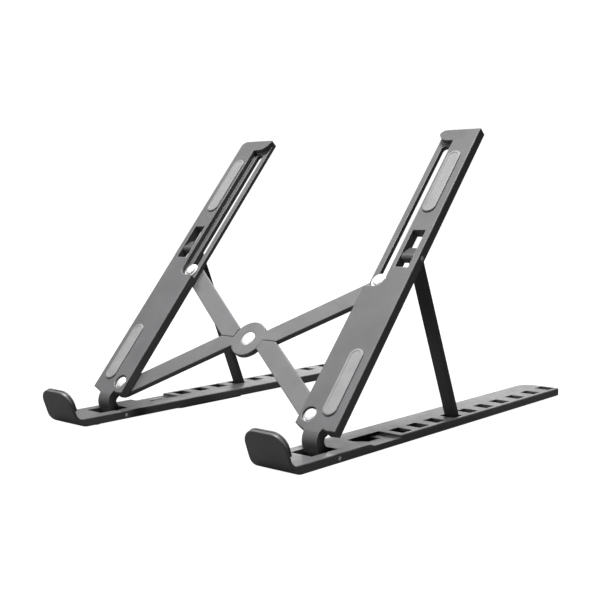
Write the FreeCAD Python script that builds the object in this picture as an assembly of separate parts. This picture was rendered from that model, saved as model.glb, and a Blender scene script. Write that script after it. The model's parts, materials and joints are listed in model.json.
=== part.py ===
import FreeCAD, Part

import math
import os

from FreeCAD import Vector

# A folding laptop stand: two base rails, two sloping arms hinged to them, two struts that
# prop the arms in slits of the rails, and a pair of crossed bars that joins the arms.
# Millimetres. X across, Y towards the rear, Z up. The origin is on the table, under the
# middle of the stand. The right-hand side is drawn, and the left-hand side is its mirror.

# ---- driving dimensions -------------------------------------------------------------
MEMBER_WIDTH = 24.5          # a rail and the arm above it are equally wide
MEMBER_X = 75.0              # centre line of the right rail and arm, stand opened fully
FOOT_HEIGHT = 0.8
RAIL_HEIGHT = 4.5
RAIL_REAR = 220.5            # rail behind the hinge axis
HOOK_REACH = 39.5            # hook ahead of the hinge axis
HINGE_RISE = 2.25            # hinge axis above the rail's underside
ARM_ANGLE = 49.1             # slope of the arms at rest
ARM_LENGTH = 197.0           # from the hinge axis
ARM_TOP = 11.4               # the arm's face above the hinge axis, square to the arm
ARM_THICKNESS = 5.6
BAR_BOTTOM = 2.5             # layer of the crossed bars, in the same direction
BAR_TOP = 5.6
PIVOT_X = 68.4               # lower pivots and sliding pins of the bars
PIVOT_S = 14.1               # lower pivots, along the arm
BAR_OPEN = 30.5              # angle of a bar to X, opened fully
BAR_CLOSED_X = 5.95          # half the distance of the lower pivots, closed
STRUT_PIN_S = 110.0          # strut pin, along the arm
STRUT_PIN_N = 8.6            # strut pin, square to the arm
STRUT_LEAN = 22.9            # strut at rest, from upright
STRUT_SINK = 1.9             # depth of the strut's foot in its slit
FIRST_SLIT = 59.5            # middle of the first slit behind the hinge axis
SLIT_PITCH = 15.4            # first pitch of the slits
SLIT_GROWTH = 0.5            # each pitch is longer than the last one by this
SLITS = 10

# ---- derived ------------------------------------------------------------------------
INNER_X = MEMBER_X - MEMBER_WIDTH / 2
OUTER_X = MEMBER_X + MEMBER_WIDTH / 2
HINGE_Y = (HOOK_REACH - RAIL_REAR) / 2        # axis on which each arm tilts
HINGE_Z = FOOT_HEIGHT + HINGE_RISE
RAIL_TOP = RAIL_HEIGHT - HINGE_RISE           # above the hinge axis
RAIL_BOTTOM = -HINGE_RISE
ARM_UNDER = ARM_TOP - ARM_THICKNESS
HALF_BAR = PIVOT_X / math.cos(math.radians(BAR_OPEN))    # hub to pivot
HUB_S = PIVOT_S + HALF_BAR * math.sin(math.radians(BAR_OPEN))
SLIDE_S = 2 * HUB_S - PIVOT_S                 # sliding pins, along the arm
BAR_TURN = math.degrees(math.acos(BAR_CLOSED_X / HALF_BAR)) - BAR_OPEN
X_AXIS = Vector(1, 0, 0)
Z_AXIS = Vector(0, 0, 1)
ORIGIN = Vector(0, 0, 0)
OVER = 1.0                                    # how far a cut runs past a face
NEAR = 0.05                                   # how close an edge picked by place must lie
RUNNING_GAP = 0.05                            # between a pin and what turns on it
EASED_EDGE = 0.5                              # radius on the outlines of rails and arms
FINE_EDGE = 0.35                              # radius on the outlines of bars and struts


# ---- shapes -------------------------------------------------------------------------
def box(x, y, z):
    """A block between the two limits given for each axis."""
    return Part.makeBox(x[1] - x[0], y[1] - y[0], z[1] - z[0], Vector(x[0], y[0], z[0]))


def disc(x, y, radius, z):
    """An upright cylinder at x, y between the two heights."""
    return Part.makeCylinder(radius, z[1] - z[0], Vector(x, y, z[0]))


def pin(x, y, z, radius):
    """A cylinder along X, at y and z, between the two limits of x."""
    return Part.makeCylinder(radius, x[1] - x[0], Vector(x[0], y, z), X_AXIS)


def side_plate(outline, x):
    """An outline of (y, z) points, extruded along X between the two limits."""
    points = [Vector(x[0], y, z) for y, z in outline + outline[:1]]
    return Part.Face(Part.makePolygon(points)).extrude(Vector(x[1] - x[0], 0, 0))


def flat_plate(outline, z):
    """An outline of (x, y) points, extruded along Z between the two limits."""
    points = [Vector(x, y, z[0]) for x, y in outline + outline[:1]]
    return Part.Face(Part.makePolygon(points)).extrude(Vector(0, 0, z[1] - z[0]))


def stadium(x, y, z):
    """A block between the limits of each axis, with its two short ends fully round."""
    radius = min(x[1] - x[0], y[1] - y[0]) / 2
    along_x = (x[0] + radius, x[1] - radius)
    along_y = (y[0] + radius, y[1] - radius)
    if x[1] - x[0] > y[1] - y[0]:
        body = box(along_x, y, z)
    else:
        body = box(x, along_y, z)
    ends = [disc(end_x, end_y, radius, z) for end_x, end_y in zip(along_x, along_y)]
    return body.fuse(ends).removeSplitter()


def edges_near(shape, x=None, y=None, z=None):
    """The edges whose middle lies at the coordinates given."""
    found = []
    for edge in shape.Edges:
        middle = edge.CenterOfMass
        wanted = [(middle.x, x), (middle.y, y), (middle.z, z)]
        if all(goal is None or abs(value - goal) < NEAR for value, goal in wanted):
            found.append(edge)
    return found


def edges_at_height(shape, z):
    """The edges that lie flat at the height given."""
    return [edge for edge in shape.Edges
            if abs(edge.BoundBox.ZMin - z) < NEAR and abs(edge.BoundBox.ZMax - z) < NEAR]


def eased(shape, radius, heights):
    """Rounds the edges that lie at the heights given."""
    edges = [edge for z in heights for edge in edges_at_height(shape, z)]
    return shape.makeFillet(radius, edges)


def on_rail(shape):
    """Places a shape drawn about the hinge axis, with Y along the rail."""
    moved = shape.copy()
    moved.translate(Vector(0, HINGE_Y, HINGE_Z))
    return moved


def on_arm(shape):
    """Places a shape drawn about the hinge axis, with Y along the arm."""
    moved = shape.copy()
    moved.rotate(ORIGIN, X_AXIS, ARM_ANGLE)
    return on_rail(moved)


def mirrored(shape):
    return shape.mirror(ORIGIN, X_AXIS)


# ---- base rail ----------------------------------------------------------------------
HOOK_LEAN = 20.5             # the hook leans forward, from upright
HOOK_FOOT = -32.5            # where the line of its front face meets the underside
HOOK_SIN = math.sin(math.radians(HOOK_LEAN))
HOOK_COS = math.cos(math.radians(HOOK_LEAN))
TIP_LOSS = EASED_EDGE * (HOOK_SIN + HOOK_COS - 1.0)      # what rounding the tip takes off
HOOK_LENGTH = (HOOK_REACH + HOOK_FOOT + TIP_LOSS) / HOOK_SIN
HOOK_PLATE = 1.8             # the rail's own plate
HOOK_COVER = 1.3             # the soft layer on it
HOOK_COVER_START = 7.5       # along the front face
HOOK_CORNER = 7.5
HOOK_BEND = 9.0              # outside of the bend between rail and hook
HOOK_ROOT = 4.5              # inside of the bend
NECK_OPENING_X = (MEMBER_X - 6.3, MEMBER_X + 6.3)
NECK_OPENING_Y = (-13.0, 6.0)
PIN_RADIUS = 1.0
SLIT_X = (MEMBER_X + 1.0, MEMBER_X + 10.0)
SLIT_AHEAD = 3.3             # the slit reaches this far ahead of its middle
SLIT_BEHIND = 2.7
RAMP_LENGTH = 2.7            # each slit's front edge is ramped
RAMP_DEPTH = 1.25
POCKET_X = (MEMBER_X - 1.5, OUTER_X + OVER)
POCKET_Y = (23.0, 48.8)
POCKET_RAMP = 4.0
POCKET_DEPTH = 1.3
POCKET_HOLE_WIDTH = 6.5
POCKET_HOLE_FRONT = (5.0, 8.5)    # slanted: inner and outer end, behind the pocket's front
POCKET_HOLE_REAR = 7.5           # ahead of the pocket's rear end
REAR_CORNER_INNER = 9.0
REAR_CORNER_OUTER = 1.5
FRONT_FOOT_X = (INNER_X + 2.5, OUTER_X - 2.5)
FRONT_FOOT_Y = (-20.5, -14.5)
SIDE_FOOT_X = (INNER_X + 1.5, INNER_X + 9.5)
SIDE_FEET_Y = ((40.0, 95.0), (140.0, 195.0))


def hook_point(along, inwards):
    """A point on the hook, along its front face and inwards from it, as (y, z)."""
    y = HOOK_FOOT - along * HOOK_SIN + inwards * HOOK_COS
    z = RAIL_BOTTOM + along * HOOK_COS + inwards * HOOK_SIN
    return y, z


def round_hook_corners(shape):
    """Rounds the hook's two top corners, seen from the front."""
    sides = (INNER_X, OUTER_X)
    paddle = box(sides, (0.0, HOOK_LENGTH), (-HOOK_PLATE - HOOK_COVER - OVER, OVER))
    corners = [edge for x in sides for edge in edges_near(paddle, x=x, y=HOOK_LENGTH)]
    paddle = paddle.makeFillet(HOOK_CORNER, corners)
    paddle.rotate(ORIGIN, X_AXIS, 90.0 + HOOK_LEAN)
    paddle.translate(Vector(0, HOOK_FOOT, RAIL_BOTTOM))
    low = box((INNER_X - OVER, OUTER_X + OVER), (2 * HOOK_FOOT, RAIL_REAR + OVER),
              (RAIL_BOTTOM - OVER, RAIL_TOP + HOOK_ROOT))
    return shape.common(paddle.fuse(low))


def is_outline(edge):
    """Whether an edge of the rail belongs to the outline seen from above or the front."""
    across = edge.BoundBox.XMax - edge.BoundBox.XMin > 0.9 * MEMBER_WIDTH
    upright = edge.BoundBox.ZMax - edge.BoundBox.ZMin > 0.9 * RAIL_HEIGHT
    return not across and not (upright and edge.CenterOfMass.y > 0)


def rail_slit(middle):
    """A slit through the rail with a ramp on its front edge."""
    front = middle - SLIT_AHEAD
    ramp = [(front - RAMP_LENGTH, RAIL_TOP), (front - RAMP_LENGTH, RAIL_TOP + OVER),
            (front, RAIL_TOP + OVER), (front, RAIL_TOP - RAMP_DEPTH)]
    slit = box(SLIT_X, (front, middle + SLIT_BEHIND), (RAIL_BOTTOM - OVER, RAIL_TOP + OVER))
    return slit.fuse(side_plate(ramp, SLIT_X))


def slit_middles():
    growth = [SLIT_GROWTH * k * (k - 1) / 2 for k in range(SLITS)]
    return [FIRST_SLIT + SLIT_PITCH * k + growth[k] for k in range(SLITS)]


def rail_pocket():
    """The shallow pocket ahead of the slits, open at the outer side, and its hole."""
    floor = RAIL_TOP - POCKET_DEPTH
    step = [(POCKET_Y[0], RAIL_TOP), (POCKET_Y[0], RAIL_TOP + OVER),
            (POCKET_Y[1], RAIL_TOP + OVER), (POCKET_Y[1], floor),
            (POCKET_Y[0] + POCKET_RAMP, floor)]
    hole_x = (POCKET_X[0], POCKET_X[0] + POCKET_HOLE_WIDTH)
    hole_rear = POCKET_Y[1] - POCKET_HOLE_REAR
    hole = [(x, POCKET_Y[0] + behind) for x, behind in zip(hole_x, POCKET_HOLE_FRONT)]
    hole += [(hole_x[1], hole_rear), (hole_x[0], hole_rear)]
    return side_plate(step, POCKET_X).fuse(flat_plate(hole, (RAIL_BOTTOM - OVER, RAIL_TOP)))


def base_rail():
    root_y, root_z = hook_point(0.0, HOOK_PLATE)
    inner_y = root_y - (RAIL_TOP - root_z) * HOOK_SIN / HOOK_COS
    outline = [(RAIL_REAR, RAIL_BOTTOM), (HOOK_FOOT, RAIL_BOTTOM), hook_point(HOOK_LENGTH, 0.0),
               hook_point(HOOK_LENGTH, HOOK_PLATE), (inner_y, RAIL_TOP), (RAIL_REAR, RAIL_TOP)]
    rail = side_plate(outline, (INNER_X, OUTER_X))
    rail = rail.makeFillet(HOOK_BEND, edges_near(rail, y=HOOK_FOOT, z=RAIL_BOTTOM))
    rail = rail.makeFillet(HOOK_ROOT, edges_near(rail, y=inner_y, z=RAIL_TOP))
    rail = rail.makeFillet(REAR_CORNER_INNER, edges_near(rail, x=INNER_X, y=RAIL_REAR))
    rail = rail.makeFillet(REAR_CORNER_OUTER, edges_near(rail, x=OUTER_X, y=RAIL_REAR))
    rail = round_hook_corners(rail)
    rail = rail.makeFillet(EASED_EDGE, [edge for edge in rail.Edges if is_outline(edge)])
    neck = box(NECK_OPENING_X, NECK_OPENING_Y, (RAIL_BOTTOM - OVER, RAIL_TOP + OVER))
    bore = pin((INNER_X - OVER, OUTER_X + OVER), 0.0, 0.0, PIN_RADIUS)
    cuts = [neck, bore, rail_pocket()] + [rail_slit(middle) for middle in slit_middles()]
    return on_rail(rail.cut(cuts))


def hook_cover():
    """The soft layer on the laptop side of the hook."""
    outline = [hook_point(HOOK_COVER_START, HOOK_PLATE), hook_point(HOOK_LENGTH, HOOK_PLATE),
               hook_point(HOOK_LENGTH, HOOK_PLATE + HOOK_COVER),
               hook_point(HOOK_COVER_START + HOOK_COVER, HOOK_PLATE + HOOK_COVER)]
    return on_rail(round_hook_corners(side_plate(outline, (INNER_X, OUTER_X))))


def rail_feet():
    """Thin soft feet under the rail: one across the front, two along the inner side."""
    height = (RAIL_BOTTOM - FOOT_HEIGHT, RAIL_BOTTOM)
    front = stadium(FRONT_FOOT_X, FRONT_FOOT_Y, height)
    strips = [stadium(SIDE_FOOT_X, y, height) for y in SIDE_FEET_Y]
    return on_rail(Part.makeCompound([front] + strips))


def hinge_pin():
    """The pin through rail and neck, flush with both sides of the rail."""
    return on_rail(pin((INNER_X, OUTER_X), 0.0, 0.0, PIN_RADIUS))


# ---- arm ----------------------------------------------------------------------------
ARM_SHOULDER = 5.2           # lower end of the plate where it meets the neck, along the arm
LEFT_SHOULDER = ((0.0, 8.5), (1.3, 6.0))        # the lower outline beside the neck, as
RIGHT_SHOULDER = ((1.0, 7.6), (3.0, 6.8), (0.0, 7.1))     # described in arm_plate
NECK_X = (MEMBER_X - 5.0, MEMBER_X + 4.0)
NECK_BEND = 8.0              # outer radius of the bend between plate and neck
BARREL_RADIUS = 2.1
TOP_CORNER = 3.75            # one of the top corners is round
LEDGE_X = INNER_X + 10.8     # the inner part of the arm is a lower ledge
LEDGE_N = ARM_TOP - 3.05
LEDGE_TOP = 189.0
LEDGE_TOP_CORNER = 7.0
LEDGE_END_RADIUS = LEDGE_X - PIVOT_X
SLOT_WIDTH = 4.7
SLOT_TOP = 187.5
SLOT_PIN_RADIUS = 2.0
WINDOW_X = (MEMBER_X + 1.0, MEMBER_X + 8.8)
WINDOW_S = (102.0, 126.0)
RIVET_RADIUS = 1.75
RIVET_HEAD = 3.25
RIVET_RECESS = 4.1
RECESS_N = ARM_TOP - 1.7
STRUT_PIN_RADIUS = 1.2
STRUT_PIN_X = (MEMBER_X - 1.0, OUTER_X)
PAD_X = (MEMBER_X, MEMBER_X + 8.0)
PAD_N = (ARM_TOP - 0.8, ARM_TOP + 0.8)
LOWER_PAD_S = (14.5, 52.0)
UPPER_PAD_S = (138.0, 180.5)
PAD_EDGE = 0.5


def arm_neck():
    """The neck, bent down from the arm's plate to the barrel on the hinge axis."""
    bend_y, bend_z = NECK_BEND - BARREL_RADIUS, ARM_TOP - NECK_BEND
    inner = NECK_BEND - ARM_THICKNESS
    bend = pin(NECK_X, bend_y, bend_z, NECK_BEND).cut(pin(NECK_X, bend_y, bend_z, inner))
    quarter = box(NECK_X, (-BARREL_RADIUS, bend_y), (bend_z, ARM_TOP))
    stem = side_plate([(-BARREL_RADIUS, bend_z), (-BARREL_RADIUS, 0.0), (BARREL_RADIUS, 0.0),
                       (bend_y - inner, bend_z)], NECK_X)
    root = box(NECK_X, (bend_y, 2 * bend_y), (ARM_UNDER, ARM_TOP))
    barrel = pin(NECK_X, 0.0, 0.0, BARREL_RADIUS)
    return bend.common(quarter).fuse([stem, root, barrel]).removeSplitter()


def arm_plate(left_x, right_x):
    """The arm's plate. Both arms have the same lower outline, seen from the front.

    It is given by points beside the neck, as distance from the neck and place along the
    arm. A distance of 0 stands for the side of the plate.
    """
    neck_left, neck_right = NECK_X if left_x < right_x else NECK_X[::-1]
    way = math.copysign(1.0, right_x - left_x)
    outline = [(left_x, ARM_LENGTH)]
    outline += [(neck_left - way * away if away else left_x, s) for away, s in LEFT_SHOULDER]
    outline += [(neck_left, ARM_SHOULDER), (neck_right, ARM_SHOULDER)]
    outline += [(neck_right + way * away if away else right_x, s) for away, s in RIGHT_SHOULDER]
    outline += [(right_x, ARM_LENGTH)]
    return flat_plate(outline, (ARM_UNDER, ARM_TOP))


def ledge_cut():
    """Room above the ledge: round about the sliding pin, and round at its top corner."""
    height = (LEDGE_N, ARM_TOP + OVER)
    start = SLIDE_S
    room = box((INNER_X - OVER, LEDGE_X), (start, LEDGE_TOP), height)
    corner = box((INNER_X - OVER, INNER_X + LEDGE_TOP_CORNER),
                 (LEDGE_TOP - OVER, LEDGE_TOP + LEDGE_TOP_CORNER), height)
    keep = disc(INNER_X + LEDGE_TOP_CORNER, LEDGE_TOP + LEDGE_TOP_CORNER, LEDGE_TOP_CORNER,
                height)
    low_end = disc(PIVOT_X, start, LEDGE_END_RADIUS, height)
    low_side = box((INNER_X - OVER, PIVOT_X), (start - LEDGE_END_RADIUS, start + OVER), height)
    return room.fuse([corner.cut(keep), low_end, low_side])


def arm(left_x, right_x):
    """The arm between two sides. The top corner on its left, seen from the front, is round."""
    plate = arm_plate(left_x, right_x)
    plate = plate.makeFillet(TOP_CORNER, edges_near(plate, x=left_x, y=ARM_LENGTH))
    plate = eased(plate, EASED_EDGE, (ARM_UNDER, ARM_TOP))
    through = (ARM_UNDER - OVER, ARM_TOP + OVER)
    slot_x = (PIVOT_X - SLOT_WIDTH / 2, PIVOT_X + SLOT_WIDTH / 2)
    slot = stadium(slot_x, (SLIDE_S - SLOT_WIDTH / 2, SLOT_TOP), through)
    recess = disc(PIVOT_X, PIVOT_S, RIVET_RECESS, (RECESS_N, ARM_TOP + OVER))
    rivet_hole = disc(PIVOT_X, PIVOT_S, RIVET_RADIUS, through)
    window = box(WINDOW_X, WINDOW_S, through)
    strut_bore = pin((STRUT_PIN_X[0], OUTER_X + OVER), STRUT_PIN_S, STRUT_PIN_N,
                     STRUT_PIN_RADIUS)
    hinge_bore = pin((NECK_X[0] - OVER, NECK_X[1] + OVER), 0.0, 0.0, PIN_RADIUS + RUNNING_GAP)
    pad_seats = [stadium(PAD_X, s, (PAD_N[0], ARM_TOP + OVER))
                 for s in (LOWER_PAD_S, UPPER_PAD_S)]
    whole = plate.fuse(arm_neck())
    cuts = [ledge_cut(), slot, recess, rivet_hole, window, strut_bore, hinge_bore] + pad_seats
    return on_arm(whole.cut(cuts))


def arm_pad(along):
    """A soft pad in its shallow seat, proud of the arm's face."""
    pad = stadium(PAD_X, along, PAD_N)
    return on_arm(eased(pad, PAD_EDGE, (PAD_N[1],)))


def strut_pin():
    """The pin on which the strut turns, flush with the arm's outer side."""
    return on_arm(pin(STRUT_PIN_X, STRUT_PIN_S, STRUT_PIN_N, STRUT_PIN_RADIUS))


# ---- crossed bars -------------------------------------------------------------------
BAR_WIDTH = 10.6
BAR_END_RADIUS = BAR_WIDTH / 2
HUB_RADIUS = 10.6
HUB_GAP = 0.3                # between a bar and the other bar's boss
LAP_N = (BAR_BOTTOM + BAR_TOP) / 2
LAP_GAP = 0.05               # each boss stays this far from the lap's middle
OPEN_STOP_GAP = 0.1          # each bar stays this far from the line where they meet, open
HEAD_SEAT = 0.3              # room round a rivet's lower head
LOWER_HEAD = 3.0
LOWER_HEAD_N = (BAR_BOTTOM + 0.05, BAR_BOTTOM + 0.85)
LOWER_SEAT_TOP = BAR_BOTTOM + 0.95
HUB_PIN_RADIUS = 2.0
HUB_HEAD = 4.25
HUB_HEAD_N = (BAR_TOP - 0.7, BAR_TOP + 0.1)
HUB_LOWER_HEAD = 3.5
HUB_LOWER_N = (BAR_BOTTOM + 0.05, BAR_BOTTOM + 0.7)
HUB_SEAT_TOP = BAR_BOTTOM + 0.8


def bar_strip(side, up):
    """Half of a bar, straight up or down from the hub, as the bars lie when closed."""
    layer = (BAR_BOTTOM, BAR_TOP)
    middle = side * BAR_CLOSED_X
    reach = HALF_BAR * math.sin(math.radians(BAR_OPEN + BAR_TURN))
    edges = (middle - BAR_END_RADIUS, middle + BAR_END_RADIUS)
    length = (0.0, reach) if up else (-reach, 0.0)
    end = disc(middle, reach if up else -reach, BAR_END_RADIUS, layer)
    return box(edges, length, layer).fuse(end)


def crossed_bar(top_boss):
    """A bar about the hub, opened fully. It runs from the lower left to the upper right."""
    halves = bar_strip(-1, False).fuse(bar_strip(1, True))
    halves.rotate(ORIGIN, Z_AXIS, -BAR_TURN)
    room = HALF_BAR + BAR_WIDTH
    layer = (BAR_BOTTOM - OVER, BAR_TOP + OVER)
    upper = box((0.0, room), (OPEN_STOP_GAP, room), layer)
    lower = box((-room, 0.0), (-room, -OPEN_STOP_GAP), layer)
    halves = halves.common(upper.fuse(lower))
    halves = eased(halves, FINE_EDGE, (BAR_BOTTOM, BAR_TOP))
    if top_boss:
        boss = disc(0.0, 0.0, HUB_RADIUS, (LAP_N + LAP_GAP, BAR_TOP))
        other = disc(0.0, 0.0, HUB_RADIUS + HUB_GAP, (BAR_BOTTOM - OVER, LAP_N + LAP_GAP))
    else:
        boss = disc(0.0, 0.0, HUB_RADIUS, (BAR_BOTTOM, LAP_N - LAP_GAP))
        other = disc(0.0, 0.0, HUB_RADIUS + HUB_GAP, (LAP_N - LAP_GAP, BAR_TOP + OVER))
    rim = boss.BoundBox.ZMax if top_boss else boss.BoundBox.ZMin
    return halves.cut(other).fuse(eased(boss, FINE_EDGE, (rim,)))


def bar_with_holes(bar):
    """Adds the holes of the lower pivot, the sliding pin and the hub."""
    through = (BAR_BOTTOM - OVER, BAR_TOP + OVER)
    run = math.radians(BAR_OPEN)
    x, y = HALF_BAR * math.cos(run), HALF_BAR * math.sin(run)
    seat = (BAR_BOTTOM - OVER, LOWER_SEAT_TOP)
    cuts = [disc(-x, -y, RIVET_RADIUS + RUNNING_GAP, through),
            disc(-x, -y, LOWER_HEAD + HEAD_SEAT, seat),
            disc(x, y, SLOT_PIN_RADIUS, through),
            disc(x, y, LOWER_HEAD, (BAR_BOTTOM - OVER, LOWER_HEAD_N[1]))]
    return bar.cut(cuts)


def at_hub(shape):
    moved = shape.copy()
    moved.translate(Vector(0, HUB_S, 0))
    return on_arm(moved)


def cross_bar_a():
    """The bar from the lower left to the upper right, whose boss is on top."""
    bar = bar_with_holes(crossed_bar(True))
    hub = [disc(0.0, 0.0, HUB_PIN_RADIUS, (BAR_BOTTOM, BAR_TOP)),
           disc(0.0, 0.0, HUB_HEAD, (HUB_HEAD_N[0], BAR_TOP + OVER))]
    return at_hub(bar.cut(hub))


def cross_bar_b():
    """The bar from the lower right to the upper left, whose boss is beneath."""
    bar = mirrored(bar_with_holes(crossed_bar(False)))
    hub = [disc(0.0, 0.0, HUB_PIN_RADIUS + RUNNING_GAP, (BAR_BOTTOM, BAR_TOP)),
           disc(0.0, 0.0, HUB_LOWER_HEAD + HEAD_SEAT, (BAR_BOTTOM - OVER, HUB_SEAT_TOP))]
    return at_hub(bar.cut(hub))


def hub_rivet():
    """The rivet that holds the two bosses together."""
    shank = disc(0.0, 0.0, HUB_PIN_RADIUS, (HUB_LOWER_N[0], HUB_HEAD_N[1]))
    heads = [disc(0.0, 0.0, HUB_HEAD, HUB_HEAD_N),
             disc(0.0, 0.0, HUB_LOWER_HEAD, HUB_LOWER_N)]
    return at_hub(shank.fuse(heads).removeSplitter())


def flat_rivet(s, radius, head_radius, head):
    """A rivet in the bar's end, with its upper head over the arm."""
    shank = disc(PIVOT_X, s, radius, (LOWER_HEAD_N[0], head[1]))
    heads = [disc(PIVOT_X, s, head_radius, head), disc(PIVOT_X, s, LOWER_HEAD, LOWER_HEAD_N)]
    return on_arm(shank.fuse(heads).removeSplitter())


WASHER = 0.4
PIVOT_WASHER_RADIUS = 3.8
PIVOT_HEAD_N = (RECESS_N + WASHER, RECESS_N + WASHER + 0.9)
SLIDE_CLEARANCE = 0.1
SLIDE_WASHER_RADIUS = 4.3
SLIDE_WASHER_N = (LEDGE_N + SLIDE_CLEARANCE, LEDGE_N + SLIDE_CLEARANCE + WASHER)
SLIDE_HEAD = 3.3
SLIDE_HEAD_N = (SLIDE_WASHER_N[1], SLIDE_WASHER_N[1] + 1.1)


def washer(s, radius, bore, height):
    ring = disc(PIVOT_X, s, radius, height)
    return on_arm(ring.cut(disc(PIVOT_X, s, bore, height)))


def pivot_rivet():
    """The rivet at the bar's lower end, fast in the arm."""
    return flat_rivet(PIVOT_S, RIVET_RADIUS, RIVET_HEAD, PIVOT_HEAD_N)


def pivot_washer():
    return washer(PIVOT_S, PIVOT_WASHER_RADIUS, RIVET_RADIUS, (RECESS_N, PIVOT_HEAD_N[0]))


def slide_rivet():
    """The rivet at the bar's upper end, fast in the bar, which slides in the arm's slot."""
    return flat_rivet(SLIDE_S, SLOT_PIN_RADIUS, SLIDE_HEAD, SLIDE_HEAD_N)


def slide_washer():
    return washer(SLIDE_S, SLIDE_WASHER_RADIUS, SLOT_PIN_RADIUS, SLIDE_WASHER_N)


# ---- strut --------------------------------------------------------------------------
STRUT_X = (WINDOW_X[0] + 0.3, WINDOW_X[1] - 0.3)
STRUT_EYE = 2.6              # radius about the pin
STRUT_BODY = (3.0, 6.2)      # the blade lies behind the pin, between these distances
STRUT_CRANK = 4.1            # the blade steps back from the eye this far below the pin


def strut_drop():
    """Length of the strut from its pin to its foot."""
    lean = math.radians(STRUT_LEAN)
    slope = math.radians(ARM_ANGLE)
    pin_z = STRUT_PIN_S * math.sin(slope) + STRUT_PIN_N * math.cos(slope)
    front_of_foot = pin_z + STRUT_BODY[0] * math.sin(lean)
    return (front_of_foot - RAIL_TOP + STRUT_SINK) / math.cos(lean)


def is_blade_edge(edge):
    """Whether an edge runs along the strut's blade."""
    return edge.BoundBox.ZMax - edge.BoundBox.ZMin > strut_drop() / 2


def strut():
    """The strut, drawn upright under its pin and then leaned back."""
    drop = strut_drop()
    outline = [(0.0, STRUT_EYE), (STRUT_BODY[1], STRUT_EYE), (STRUT_BODY[1], -drop),
               (STRUT_BODY[0], -drop), (STRUT_BODY[0], -STRUT_CRANK), (0.0, -STRUT_EYE)]
    blade = side_plate(outline, STRUT_X).fuse(pin(STRUT_X, 0.0, 0.0, STRUT_EYE))
    blade = blade.removeSplitter()
    blade = blade.makeFillet(FINE_EDGE, [edge for edge in blade.Edges if is_blade_edge(edge)])
    bore = pin((STRUT_X[0] - OVER, STRUT_X[1] + OVER), 0.0, 0.0,
               STRUT_PIN_RADIUS + RUNNING_GAP)
    blade = blade.cut(bore)
    blade.rotate(ORIGIN, X_AXIS, STRUT_LEAN - ARM_ANGLE)
    blade.translate(Vector(0, STRUT_PIN_S, STRUT_PIN_N))
    return on_arm(blade)


# ---- the whole ----------------------------------------------------------------------
def build():
    """Every node by name."""
    right = {
        "base_rail": base_rail(),
        "hook_cover": hook_cover(),
        "rail_feet": rail_feet(),
        "hinge_pin": hinge_pin(),
        "lower_pad": arm_pad(LOWER_PAD_S),
        "upper_pad": arm_pad(UPPER_PAD_S),
        "strut": strut(),
        "strut_pin": strut_pin(),
        "pivot_rivet": pivot_rivet(),
        "pivot_washer": pivot_washer(),
        "slide_rivet": slide_rivet(),
        "slide_washer": slide_washer(),
    }
    nodes = {}
    for name, shape in right.items():
        nodes["right_" + name] = shape
        nodes["left_" + name] = mirrored(shape)
    nodes["right_side_arm"] = arm(INNER_X, OUTER_X)
    nodes["left_side_arm"] = mirrored(arm(OUTER_X, INNER_X))
    nodes["cross_bar_a"] = cross_bar_a()
    nodes["cross_bar_b"] = cross_bar_b()
    nodes["hub_rivet"] = hub_rivet()
    return nodes


os.makedirs("parts", exist_ok=True)
for node_name, node_shape in build().items():
    node_shape.exportStep(os.path.join("parts", node_name + ".step"))
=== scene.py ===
import json
import math

import bmesh
import bpy
from mathutils import Matrix, Vector


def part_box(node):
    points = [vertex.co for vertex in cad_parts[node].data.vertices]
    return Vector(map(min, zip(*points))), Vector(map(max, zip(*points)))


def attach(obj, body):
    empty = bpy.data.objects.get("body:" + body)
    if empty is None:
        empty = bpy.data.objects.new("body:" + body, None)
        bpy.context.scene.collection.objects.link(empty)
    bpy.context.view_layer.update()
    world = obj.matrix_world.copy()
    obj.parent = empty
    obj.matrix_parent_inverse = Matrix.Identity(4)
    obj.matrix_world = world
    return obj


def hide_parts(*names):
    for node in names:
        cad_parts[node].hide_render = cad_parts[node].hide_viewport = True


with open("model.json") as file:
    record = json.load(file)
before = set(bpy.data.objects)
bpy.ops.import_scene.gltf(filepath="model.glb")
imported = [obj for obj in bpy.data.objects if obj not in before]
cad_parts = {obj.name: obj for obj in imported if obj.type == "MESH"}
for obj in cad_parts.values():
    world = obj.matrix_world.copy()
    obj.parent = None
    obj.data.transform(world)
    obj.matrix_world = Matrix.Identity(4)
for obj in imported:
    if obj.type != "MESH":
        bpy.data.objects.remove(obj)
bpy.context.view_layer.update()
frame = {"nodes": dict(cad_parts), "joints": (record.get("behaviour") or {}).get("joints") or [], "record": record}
nodes = frame["nodes"]
mounts = {mount["name"]: mount for mount in frame["record"]["mounts"]}
joints = {joint["name"]: joint for joint in frame["joints"]}
SIDES = ("left", "right")


# ---- base rails ----------------------------------------------------------------------
# Two long flat rails, each moulded in one piece with its front hook, in a glass-filled
# plastic with a fine spark-eroded grain. Slits and a pocket take the foot of the strut.
RAIL_GREY = (0.105, 0.105, 0.108)
# Lighter grey painted along the rail edges as a highlight.
RAIL_EDGE_HIGHLIGHT = (0.150, 0.150, 0.154)
RAIL_ROUGHNESS = (0.38, 0.43)
GRAIN_PER_METRE = 2600.0
GRAIN_DEPTH = 0.00003
GRAIN_STRENGTH = 0.8
GRAIN_DETAIL = 4.0
CLOUD_PER_METRE = 55.0
CLOUD_SPREAD = 0.07              # share by which the cloudy grey varies
SHEEN_PER_METRE = 165.0
NOISE_MIDDLE = (0.35, 0.65)      # the range that a noise mostly stays in
EDGE_REACH = 0.0006
EDGE_SAMPLES = 6
EDGE_TURN = (0.995, 0.86)        # agreement of normals where the painted edge highlight starts and is full


def link(tree, start, end):
    """Joins an output and an input, each given as (node, socket)."""
    tree.links.new(start[0].outputs[start[1]], end[0].inputs[end[1]])


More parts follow.
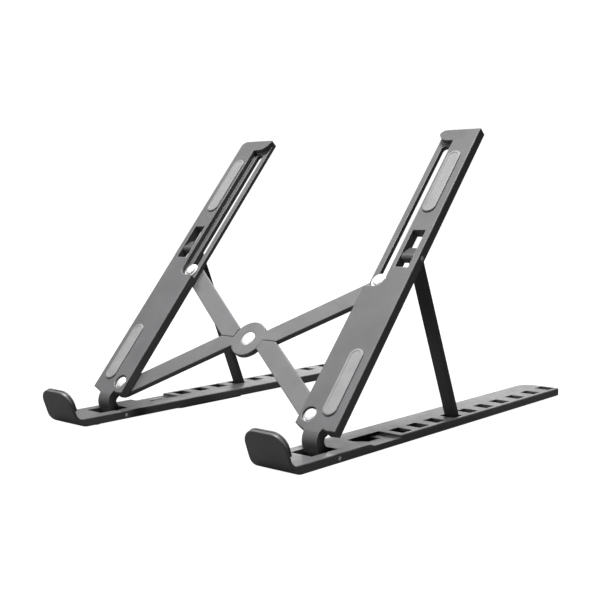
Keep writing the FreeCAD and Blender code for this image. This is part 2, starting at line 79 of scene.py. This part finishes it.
def new_material(name):
    """A material with its tree, its shader and object coordinates."""
    material = bpy.data.materials.new(name)
    material.use_nodes = True
    tree = material.node_tree
    shader = tree.nodes["Principled BSDF"]
    place = tree.nodes.new("ShaderNodeTexCoord")
    return material, tree, shader, place


def noise(tree, place, per_metre, detail):
    """Noise of so many cells to the metre, in object coordinates."""
    texture = tree.nodes.new("ShaderNodeTexNoise")
    texture.inputs["Scale"].default_value = per_metre
    texture.inputs["Detail"].default_value = detail
    link(tree, (place, "Object"), (texture, "Vector"))
    return texture


def spread(tree, source, low, high):
    """Maps the middle of a noise to the two values."""
    mapping = tree.nodes.new("ShaderNodeMapRange")
    mapping.inputs["From Min"].default_value = NOISE_MIDDLE[0]
    mapping.inputs["From Max"].default_value = NOISE_MIDDLE[1]
    mapping.inputs["To Min"].default_value = low
    mapping.inputs["To Max"].default_value = high
    link(tree, (source, 0), (mapping, "Value"))
    return mapping


def colour_between(tree, factor, first, second):
    """A mix of two colours, driven by the first output of a node."""
    mix = tree.nodes.new("ShaderNodeMix")
    mix.data_type = "RGBA"
    mix.inputs["A"].default_value = (*first, 1.0)
    mix.inputs["B"].default_value = (*second, 1.0)
    link(tree, (factor, 0), (mix, "Factor"))
    return mix


def grain_bump(tree, place, shader, per_metre, depth, normal=None):
    """A fine moulded grain, on the softened normal where one is given."""
    bump = tree.nodes.new("ShaderNodeBump")
    bump.inputs["Distance"].default_value = depth
    bump.inputs["Strength"].default_value = GRAIN_STRENGTH
    link(tree, (noise(tree, place, per_metre, GRAIN_DETAIL), 0), (bump, "Height"))
    if normal is not None:
        link(tree, (normal, "Normal"), (bump, "Normal"))
    link(tree, (bump, "Normal"), (shader, "Normal"))


def edge_highlight_mask(tree, normal):
    """Mask for a painted edge highlight: rises from 0 to 1 where the softened normal leaves the true one, at an
    edge.
    """
    geometry = tree.nodes.new("ShaderNodeNewGeometry")
    agree = tree.nodes.new("ShaderNodeVectorMath")
    agree.operation = "DOT_PRODUCT"
    link(tree, (normal, "Normal"), (agree, 0))
    link(tree, (geometry, "True Normal"), (agree, 1))
    edge = tree.nodes.new("ShaderNodeMapRange")
    edge.inputs["From Min"].default_value = EDGE_TURN[0]
    edge.inputs["From Max"].default_value = EDGE_TURN[1]
    link(tree, (agree, "Value"), (edge, "Value"))
    return edge


def moulded_plastic(name, grey, highlight_and_wear, roughness):
    """Dark moulded plastic: cloudy sheen, fine grain, and edges painted lighter as a highlight."""
    material, tree, shader, place = new_material(name)
    soft_edge = tree.nodes.new("ShaderNodeBevel")
    soft_edge.samples = EDGE_SAMPLES
    soft_edge.inputs["Radius"].default_value = EDGE_REACH
    edge = edge_highlight_mask(tree, soft_edge)
    cloud = spread(tree, noise(tree, place, CLOUD_PER_METRE, detail=5.0), 0.0, 1.0)
    darker = tuple((1 - CLOUD_SPREAD) * value for value in grey)
    lighter = tuple((1 + CLOUD_SPREAD) * value for value in grey)
    cloudy = colour_between(tree, cloud, darker, lighter)
    # Painted highlight: the edges take a lighter grey that stands in for light caught on their rounding.
    edge_highlighted = colour_between(tree, edge, grey, highlight_and_wear)
    link(tree, (cloudy, "Result"), (edge_highlighted, "A"))
    link(tree, (edge_highlighted, "Result"), (shader, "Base Color"))
    sheen = spread(tree, noise(tree, place, SHEEN_PER_METRE, detail=3.0), *roughness)
    link(tree, (sheen, 0), (shader, "Roughness"))
    grain_bump(tree, place, shader, GRAIN_PER_METRE, GRAIN_DEPTH, soft_edge)
    return material


def dress(node_name, material):
    """Gives a CAD node its material."""
    slots = nodes[node_name].data.materials
    slots.clear()
    slots.append(material)


rail_plastic = moulded_plastic("rail_plastic", RAIL_GREY, RAIL_EDGE_HIGHLIGHT, RAIL_ROUGHNESS)
for side in SIDES:
    dress(side + "_base_rail", rail_plastic)


# ---- hook covers ---------------------------------------------------------------------
# A soft dark silicone tongue bonded to the laptop side of each hook, moulded with a low
# raised lip all round so that a laptop's front edge does not touch the hard plastic.
COVER_WIDTH = 0.0245
COVER_LENGTH = 0.0112
COVER_THICKNESS = 0.0013
COVER_CORNER = 0.0075
COVER_CORNER_STEPS = 10
COVER_RIM = 0.0006
COVER_LIP = 0.0014
COVER_SINK = 0.00025
COVER_GREY = (0.040, 0.040, 0.043)
COVER_ROUGHNESS = 0.55
BLOOM_PER_METRE = 140.0
DUST_GAIN = 1.12
DUST_LIFT = 0.004
MATT_PER_METRE = 420.0
MATT_SPREAD = 0.06
DUST_SHEEN = (0.15, 0.5)         # weight and roughness
SKIN_PER_METRE = 5200.0
SKIN_DEPTH = 0.000015
NEARLY_ZERO = 0.000001
MERGE_DISTANCE = 0.00003
RIM_STEPS = 3
LIP_SLOPE = 0.25                 # of the lip's width, for the step down inside it
SHARP_ANGLE = 40.0


def soft_silicone(name, grey, roughness):
    """Matt silicone with a faint bloom of dust and a very fine skin."""
    material, tree, shader, place = new_material(name)
    bloom = spread(tree, noise(tree, place, BLOOM_PER_METRE, detail=6.0), 0.0, 1.0)
    dusty = tuple(DUST_GAIN * value + DUST_LIFT for value in grey)
    tint = colour_between(tree, bloom, grey, dusty)
    link(tree, (tint, "Result"), (shader, "Base Color"))
    matt = spread(tree, noise(tree, place, MATT_PER_METRE, detail=3.0),
                  roughness - MATT_SPREAD, roughness + MATT_SPREAD)
    link(tree, (matt, 0), (shader, "Roughness"))
    shader.inputs["Sheen Weight"].default_value = DUST_SHEEN[0]
    shader.inputs["Sheen Roughness"].default_value = DUST_SHEEN[1]
    grain_bump(tree, place, shader, SKIN_PER_METRE, SKIN_DEPTH)
    return material


def block(width, length, thickness):
    """A block as a bmesh, centred across and along, whose upper face is at height 0."""
    work = bmesh.new()
    bmesh.ops.create_cube(work, size=1.0)
    bmesh.ops.scale(work, vec=(width, length, thickness), verts=work.verts)
    bmesh.ops.translate(work, vec=(0.0, 0.0, -thickness / 2), verts=work.verts)
    return work


def round_uprights(work, radius, segments, far_end_only=False):
    """Rounds the upright edges of a block: all four, or the two at its far end."""
    uprights = [edge for edge in work.edges
                if abs(edge.verts[0].co.z - edge.verts[1].co.z) > NEARLY_ZERO
                and (edge.verts[0].co.y > 0 or not far_end_only)]
    bmesh.ops.bevel(work, geom=uprights, offset=radius, segments=segments, profile=0.5,
                    affect="EDGES", material=-1)
    bmesh.ops.remove_doubles(work, verts=work.verts, dist=MERGE_DISTANCE)


def upper_face(work):
    return max(work.faces, key=lambda face: face.calc_center_median().z)


def soften_rim(work, radius):
    """Rounds the edge round the upper face."""
    bmesh.ops.bevel(work, geom=list(upper_face(work).edges), offset=radius,
                    segments=RIM_STEPS, profile=0.5, affect="EDGES", material=-1)


def sink_middle(work, lip, depth):
    """Leaves a lip round the upper face and sinks what lies inside it."""
    top = upper_face(work)
    bmesh.ops.inset_region(work, faces=[top], thickness=lip, depth=0.0, use_even_offset=True)
    bmesh.ops.inset_region(work, faces=[top], thickness=lip * LIP_SLOPE,
                           depth=-depth, use_even_offset=True)


def finish_piece(work, name, place, material, body, replaced):
    """Turns the bmesh into an object in its place, riding on its body."""
    bmesh.ops.transform(work, matrix=place, verts=work.verts)
    bmesh.ops.recalc_face_normals(work, faces=work.faces)
    mesh = bpy.data.meshes.new(name)
    work.to_mesh(mesh)
    work.free()
    for face in mesh.polygons:
        face.use_smooth = True
    mesh.set_sharp_from_angle(angle=math.radians(SHARP_ANGLE))
    mesh.materials.append(material)
    piece = bpy.data.objects.new(name, mesh)
    bpy.context.scene.collection.objects.link(piece)
    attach(piece, body)
    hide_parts(replaced)


def on_face(mount, across=(1.0, 0.0, 0.0)):
    """The place of a face: X across, Z outwards, origin at the mount's point."""
    outwards = Vector(mount["axis"]).normalized()
    side = Vector(across)
    along = outwards.cross(side)
    turn = Matrix((side, along, outwards)).transposed().to_4x4()
    return Matrix.Translation(Vector(mount["pos_m"])) @ turn


cover_silicone = soft_silicone("cover_silicone", COVER_GREY, COVER_ROUGHNESS)
for side in SIDES:
    top_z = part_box(side + "_hook_cover")[1].z
    tongue = block(COVER_WIDTH, COVER_LENGTH, COVER_THICKNESS)
    round_uprights(tongue, COVER_CORNER, COVER_CORNER_STEPS, far_end_only=True)
    soften_rim(tongue, COVER_RIM)
    sink_middle(tongue, COVER_LIP, COVER_SINK)
    place = on_face(mounts[side + "_hook_face"], across=(-1.0, 0.0, 0.0))
    top_gap = top_z - (place @ Vector((0.0, COVER_LENGTH / 2, 0.0))).z
    slide = Matrix.Translation(Vector((0.0, top_gap / place.to_3x3().col[1].z, 0.0)))
    finish_piece(tongue, side + "_hook_tongue", place @ slide, cover_silicone, side + "_rail",
                 side + "_hook_cover")


# ---- rail feet -----------------------------------------------------------------------
# Thin self-adhesive silicone feet under each rail: one across the front under the hook's
# bend, and two long ones along the inner side. They stop the stand from sliding.
FOOT_THICKNESS = 0.0008
FOOT_RIM = 0.0002
FOOT_GREY = (0.045, 0.045, 0.047)
FOOT_ROUGHNESS = 0.6
# Width, length, middle from the rail's inner side, and middle behind the hinge.
FEET = ((0.0195, 0.0060, 0.01225, -0.0175),
        (0.0080, 0.0550, 0.0055, 0.0675),
        (0.0080, 0.0550, 0.0055, 0.1675))
ROUND_END_SHARE = 0.9999         # of half the width, so that the ends don't quite meet
ROUND_END_STEPS = 12


def stadium_block(width, length, thickness, rim):
    """A block with round ends, whose upper rim is softened."""
    work = block(width, length, thickness)
    round_uprights(work, min(width, length) / 2 * ROUND_END_SHARE, ROUND_END_STEPS)
    soften_rim(work, rim)
    return work


foot_silicone = soft_silicone("foot_silicone", FOOT_GREY, FOOT_ROUGHNESS)
hinge_y = joints["arm_raise"]["pos_m"][1]
for side, sign in zip(SIDES, (-1.0, 1.0)):
    low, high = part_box(side + "_base_rail")
    inner_x = high.x if side == "left" else low.x
    feet = bmesh.new()
    for width, length, across, behind in FEET:
        foot = stadium_block(width, length, FOOT_THICKNESS, FOOT_RIM)
        spot = Vector((inner_x + sign * across, hinge_y + behind, 0.0))
        down = Matrix.Translation(spot) @ Matrix.Rotation(math.pi, 4, "Y")
        bmesh.ops.transform(foot, matrix=down, verts=foot.verts)
        shape = bpy.data.meshes.new("foot")
        foot.to_mesh(shape)
        foot.free()
        feet.from_mesh(shape)
        bpy.data.meshes.remove(shape)
    finish_piece(feet, side + "_feet", Matrix.Identity(4), foot_silicone, side + "_rail",
                 side + "_rail_feet")


# ---- hinge pins and strut pins -------------------------------------------------------
# Plain steel pins with a dull bright plating, pressed in from the side. Only their round
# ends show, in the side of each rail and in the side of each arm.
STEEL_COLOUR = (0.86, 0.86, 0.87)
STEEL_METALLIC = 0.45
PIN_ROUGHNESS = (0.22, 0.34)
SCRATCHES_PER_METRE = 900.0
PLATING_PER_METRE = 3000.0
PLATING_DEPTH = 0.000008


def plated_steel(name, roughness):
    """Plated steel, tumbled to a bright satin, with fine random scratches."""
    material, tree, shader, place = new_material(name)
    shader.inputs["Base Color"].default_value = (*STEEL_COLOUR, 1.0)
    shader.inputs["Metallic"].default_value = STEEL_METALLIC
    highlight_and_wear = spread(tree, noise(tree, place, SCRATCHES_PER_METRE, detail=6.0), *roughness)
    link(tree, (highlight_and_wear, 0), (shader, "Roughness"))
    grain_bump(tree, place, shader, PLATING_PER_METRE, PLATING_DEPTH)
    return material


pin_steel = plated_steel("pin_steel", PIN_ROUGHNESS)
for side in SIDES:
    dress(side + "_hinge_pin", pin_steel)
    dress(side + "_strut_pin", pin_steel)


# ---- side arms -----------------------------------------------------------------------
# Flat arms moulded in the same dark plastic as the rails, each with a bent neck that ends
# in the hinge barrel, a sunken ledge with a long slot, and a window for the strut.
ARM_GREY = (0.096, 0.096, 0.099)
# Lighter grey painted along the arm edges as a highlight.
ARM_EDGE_HIGHLIGHT = (0.340, 0.340, 0.345)
ARM_ROUGHNESS = (0.44, 0.56)

arm_plastic = moulded_plastic("arm_plastic", ARM_GREY, ARM_EDGE_HIGHLIGHT, ARM_ROUGHNESS)
for side in SIDES:
    dress(side + "_side_arm", arm_plastic)


# ---- arm pads ------------------------------------------------------------------------
# Light grey silicone pads with round ends, set in shallow seats of the arms. Each has a
# moulded rim and a slightly sunken middle, and stands just proud of the arm.
PAD_WIDTH = 0.0080
PAD_THICKNESS = 0.0016
PAD_LENGTHS = {"lower": 0.0375, "upper": 0.0425}
PAD_EDGE = 0.0004
PAD_LIP = 0.0009
PAD_SINK = 0.0002
PAD_GREY = (0.205, 0.205, 0.208)
PAD_ROUGHNESS = 0.5

pad_silicone = soft_silicone("pad_silicone", PAD_GREY, PAD_ROUGHNESS)
for side in SIDES:
    for level, length in PAD_LENGTHS.items():
        pad = stadium_block(PAD_WIDTH, length, PAD_THICKNESS, PAD_EDGE)
        sink_middle(pad, PAD_LIP, PAD_SINK)
        node_name = f"{side}_{level}_pad"
        finish_piece(pad, node_name + "_face", on_face(mounts[node_name + "_face"]),
                     pad_silicone, side + "_arm", node_name)


# ---- struts --------------------------------------------------------------------------
# Flat struts moulded in the same dark plastic as the arms, cranked at the top so that they
# fold flat under them. A pin holds each strut in its arm, and its foot rests in a slit.
STRUT_GREY = (0.055, 0.055, 0.057)
# Lighter grey painted along the strut edges as a highlight.
STRUT_EDGE_HIGHLIGHT = (0.110, 0.110, 0.113)
STRUT_ROUGHNESS = (0.42, 0.54)

strut_plastic = moulded_plastic("strut_plastic", STRUT_GREY, STRUT_EDGE_HIGHLIGHT, STRUT_ROUGHNESS)
for side in SIDES:
    dress(side + "_strut", strut_plastic)


# ---- crossed bars --------------------------------------------------------------------
# Two flat bars of the same moulded plastic, lapped over each other in round bosses at the
# hub, and riveted there and at their ends. Their faces are a little smoother than the arms'.
# Painted light: the bars' grey is lighter than the arms' grey of the same plastic, for the brighter reflection the
# bars catch.
BAR_LIT_GREY = (0.124, 0.124, 0.127)
# Lighter grey painted along the bar edges as a highlight.
BAR_EDGE_HIGHLIGHT = (0.330, 0.330, 0.335)
BAR_ROUGHNESS = (0.36, 0.46)

bar_plastic = moulded_plastic("bar_plastic", BAR_LIT_GREY, BAR_EDGE_HIGHLIGHT, BAR_ROUGHNESS)
for node_name in ("cross_bar_a", "cross_bar_b"):
    dress(node_name, bar_plastic)


# ---- rivets and washers --------------------------------------------------------------
# Turned steel rivets with low domed heads. One holds the hub, one the lower end of each
# bar, and one slides with the upper end of each bar in the arm's slot, over a washer.
HUB_RIVET = {"head": 0.00425, "rise": 0.0008, "shank": 0.0020, "length": 0.00315,
             "tail": 0.0035, "tail_rise": 0.00065}
PIVOT_RIVET = {"head": 0.00325, "rise": 0.0009, "shank": 0.00175, "length": 0.00845,
               "tail": 0.0030, "tail_rise": 0.0008}
SLIDE_RIVET = {"head": 0.0033, "rise": 0.0011, "shank": 0.0020, "length": 0.0074,
               "tail": 0.0030, "tail_rise": 0.0008}
RIVET_STEPS = 40
RIVET_ROUGHNESS = (0.30, 0.42)
POLE_MERGE = 0.0000001


def turned_rivet(sizes):
    """A rivet turned about Z: domed head on top, shank, and a flat tail below."""
    head, rise, tail = sizes["head"], sizes["rise"], sizes["tail"]
    low = -sizes["length"]
    profile = [(0.0, 0.0), (0.40 * head, -0.02 * rise), (0.80 * head, -0.09 * rise),
               (0.94 * head, -0.28 * rise), (head, -0.60 * rise), (head, -rise),
               (sizes["shank"], -rise), (sizes["shank"], low + sizes["tail_rise"]),
               (tail, low + sizes["tail_rise"]), (tail, low + 0.1 * sizes["tail_rise"]),
               (0.96 * tail, low), (0.0, low)]
    work = bmesh.new()
    points = [work.verts.new((radius, 0.0, height)) for radius, height in profile]
    edges = [work.edges.new(pair) for pair in zip(points, points[1:])]
    bmesh.ops.spin(work, geom=points + edges, cent=(0, 0, 0), axis=(0, 0, 1),
                   angle=2 * math.pi, steps=RIVET_STEPS, use_merge=True)
    bmesh.ops.remove_doubles(work, verts=work.verts, dist=POLE_MERGE)
    return work


def rivet_place(node_name, outwards):
    """The top middle of a rivet that stands square to the arms."""
    low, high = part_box(node_name)
    middle = (low + high) / 2
    reach = max((vertex.co - middle).dot(outwards) for vertex in nodes[node_name].data.vertices)
    return on_face({"axis": outwards, "pos_m": middle + reach * outwards})


arm_normal = Vector(joints["scissor_fold"]["axis"]).normalized()
rivet_steel = plated_steel("rivet_steel", RIVET_ROUGHNESS)
washer_steel = plated_steel("washer_steel", RIVET_ROUGHNESS)
RIVETS = (("hub_rivet", HUB_RIVET, "bar_a"),
          ("left_pivot_rivet", PIVOT_RIVET, "left_arm"),
          ("right_pivot_rivet", PIVOT_RIVET, "right_arm"),
          ("left_slide_rivet", SLIDE_RIVET, "bar_b"),
          ("right_slide_rivet", SLIDE_RIVET, "bar_a"))
for node_name, rivet_sizes, body in RIVETS:
    finish_piece(turned_rivet(rivet_sizes), node_name + "_turned",
                 rivet_place(node_name, arm_normal), rivet_steel, body,
                 node_name)
for side in SIDES:
    dress(side + "_pivot_washer", washer_steel)
    dress(side + "_slide_washer", washer_steel)


# ---- studio --------------------------------------------------------------------------
# A pale floor and a white room, lit from straight above by one soft lamp. A card to the left
# shines in the rivets, one behind in the tops of the rails, and a fill lifts the hooks.
FLOOR_HALF = 6.0
WHITE = (1.0, 1.0, 1.0, 1.0)
FLOOR_GREY = (0.06, 0.06, 0.06)
FLOOR_ROUGHNESS = 0.9
FLOOR_GLOW = (1.0, 0.022)        # seen by the camera, and as a light
ROOM_GLOW = (1.05, 0.014)
# Name, place, target, size and power.
LAMPS = (("key_lamp", (0.0, -0.16, 3.0), (0.0, 0.0, 0.05), 1.0, 184.0),
         ("rivet_card", (-0.95, -0.35, 1.35), (0.0, -0.05, 0.07), 0.7, 6.0),
         ("rail_card", (-1.15, 1.50, 0.40), (0.0, 0.0, 0.0), 1.1, 7.5),
         ("front_fill", (-0.90, -2.00, 0.50), (0.0, 0.0, 0.05), 1.2, 12.0))


def seen_or_dim(tree, bright, dim):
    """A strength that is bright where the camera looks at it, and dim as a light."""
    path = tree.nodes.new("ShaderNodeLightPath")
    strength = tree.nodes.new("ShaderNodeMapRange")
    strength.inputs["To Min"].default_value = dim
    strength.inputs["To Max"].default_value = bright
    link(tree, (path, "Is Camera Ray"), (strength, "Value"))
    return strength


def pale_floor():
    work = bmesh.new()
    bmesh.ops.create_grid(work, x_segments=1, y_segments=1, size=FLOOR_HALF)
    mesh = bpy.data.meshes.new("floor")
    work.to_mesh(mesh)
    work.free()
    material, tree, shader, place = new_material("pale_floor")
    shader.inputs["Base Color"].default_value = (*FLOOR_GREY, 1.0)
    shader.inputs["Roughness"].default_value = FLOOR_ROUGHNESS
    shader.inputs["Emission Color"].default_value = WHITE
    link(tree, (seen_or_dim(tree, *FLOOR_GLOW), 0), (shader, "Emission Strength"))
    mesh.materials.append(material)
    floor = bpy.data.objects.new("floor", mesh)
    bpy.context.scene.collection.objects.link(floor)


def white_room():
    world = bpy.data.worlds.new("white_room")
    world.use_nodes = True
    tree = world.node_tree
    background = tree.nodes["Background"]
    background.inputs["Color"].default_value = WHITE
    link(tree, (seen_or_dim(tree, *ROOM_GLOW), 0), (background, "Strength"))
    bpy.context.scene.world = world


def lamp(name, place, target, size, power):
    """A square area lamp that faces its target."""
    light = bpy.data.lights.new(name, "AREA")
    light.shape = "SQUARE"
    light.size = size
    light.energy = power
    lamp_object = bpy.data.objects.new(name, light)
    lamp_object.location = place
    facing = Vector(target) - Vector(place)
    lamp_object.rotation_euler = facing.to_track_quat("-Z", "Y").to_euler()
    bpy.context.scene.collection.objects.link(lamp_object)


pale_floor()
white_room()
for lamp_values in LAMPS:
    lamp(*lamp_values)


# ---- camera --------------------------------------------------------------------------
# A camera with a long lens, held low, in front and to the right of the stand. It looks
# slightly down on the rails.
CAMERA_PLACE = (0.36473, -0.44340, 0.11622)
CAMERA_YAW = 40.5
CAMERA_PITCH = -5.18
CAMERA_LENS = 60.11
CAMERA_SENSOR = 36.0
CAMERA_CLIP = (0.01, 50.0)

camera_data = bpy.data.cameras.new("camera")
camera_data.lens = CAMERA_LENS
camera_data.sensor_width = CAMERA_SENSOR
camera_data.clip_start = CAMERA_CLIP[0]
camera_data.clip_end = CAMERA_CLIP[1]
camera = bpy.data.objects.new("camera", camera_data)
camera.location = CAMERA_PLACE
camera.rotation_euler = (math.radians(90.0 + CAMERA_PITCH), 0.0, math.radians(CAMERA_YAW))
bpy.context.scene.collection.objects.link(camera)
bpy.context.scene.camera = camera
bpy.context.scene.view_settings.view_transform = "Standard"

bpy.context.view_layer.update()
